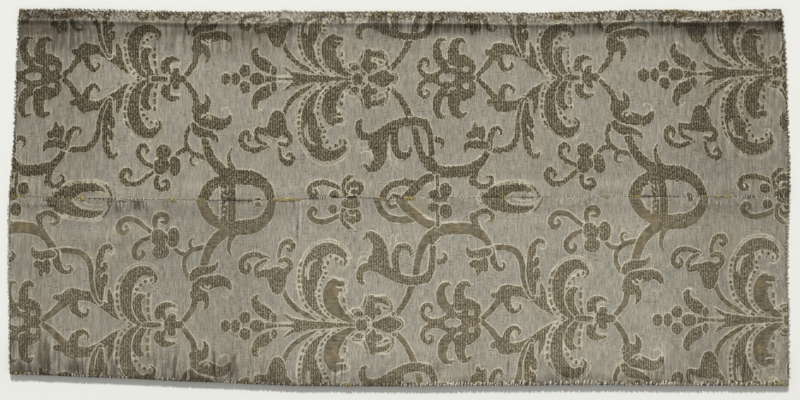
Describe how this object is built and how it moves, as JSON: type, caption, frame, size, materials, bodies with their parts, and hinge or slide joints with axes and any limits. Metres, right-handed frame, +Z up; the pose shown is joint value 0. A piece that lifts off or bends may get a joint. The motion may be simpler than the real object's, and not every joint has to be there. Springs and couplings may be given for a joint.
{
  "type": "brocade panel",
  "caption": "Flat brocade panel: two widths of woven cloth joined by a lengthwise seam, with the long edges turned under and the ends cut.",
  "frame": {"origin": "on the surface the panel lies on, under the middle of the panel", "axes": "+X along the panel and its seam, +Y across it towards the top hem, +Z up from the surface"},
  "size_m": [0.5772, 0.2793, 0.0046],
  "materials": {
    "brocade": "silvery grey silk ground with dull gold-brown metal thread"
  },
  "bodies": {
    "root": {"upper_width": "brocade", "lower_width": "brocade"}
  },
  "joints": []
}
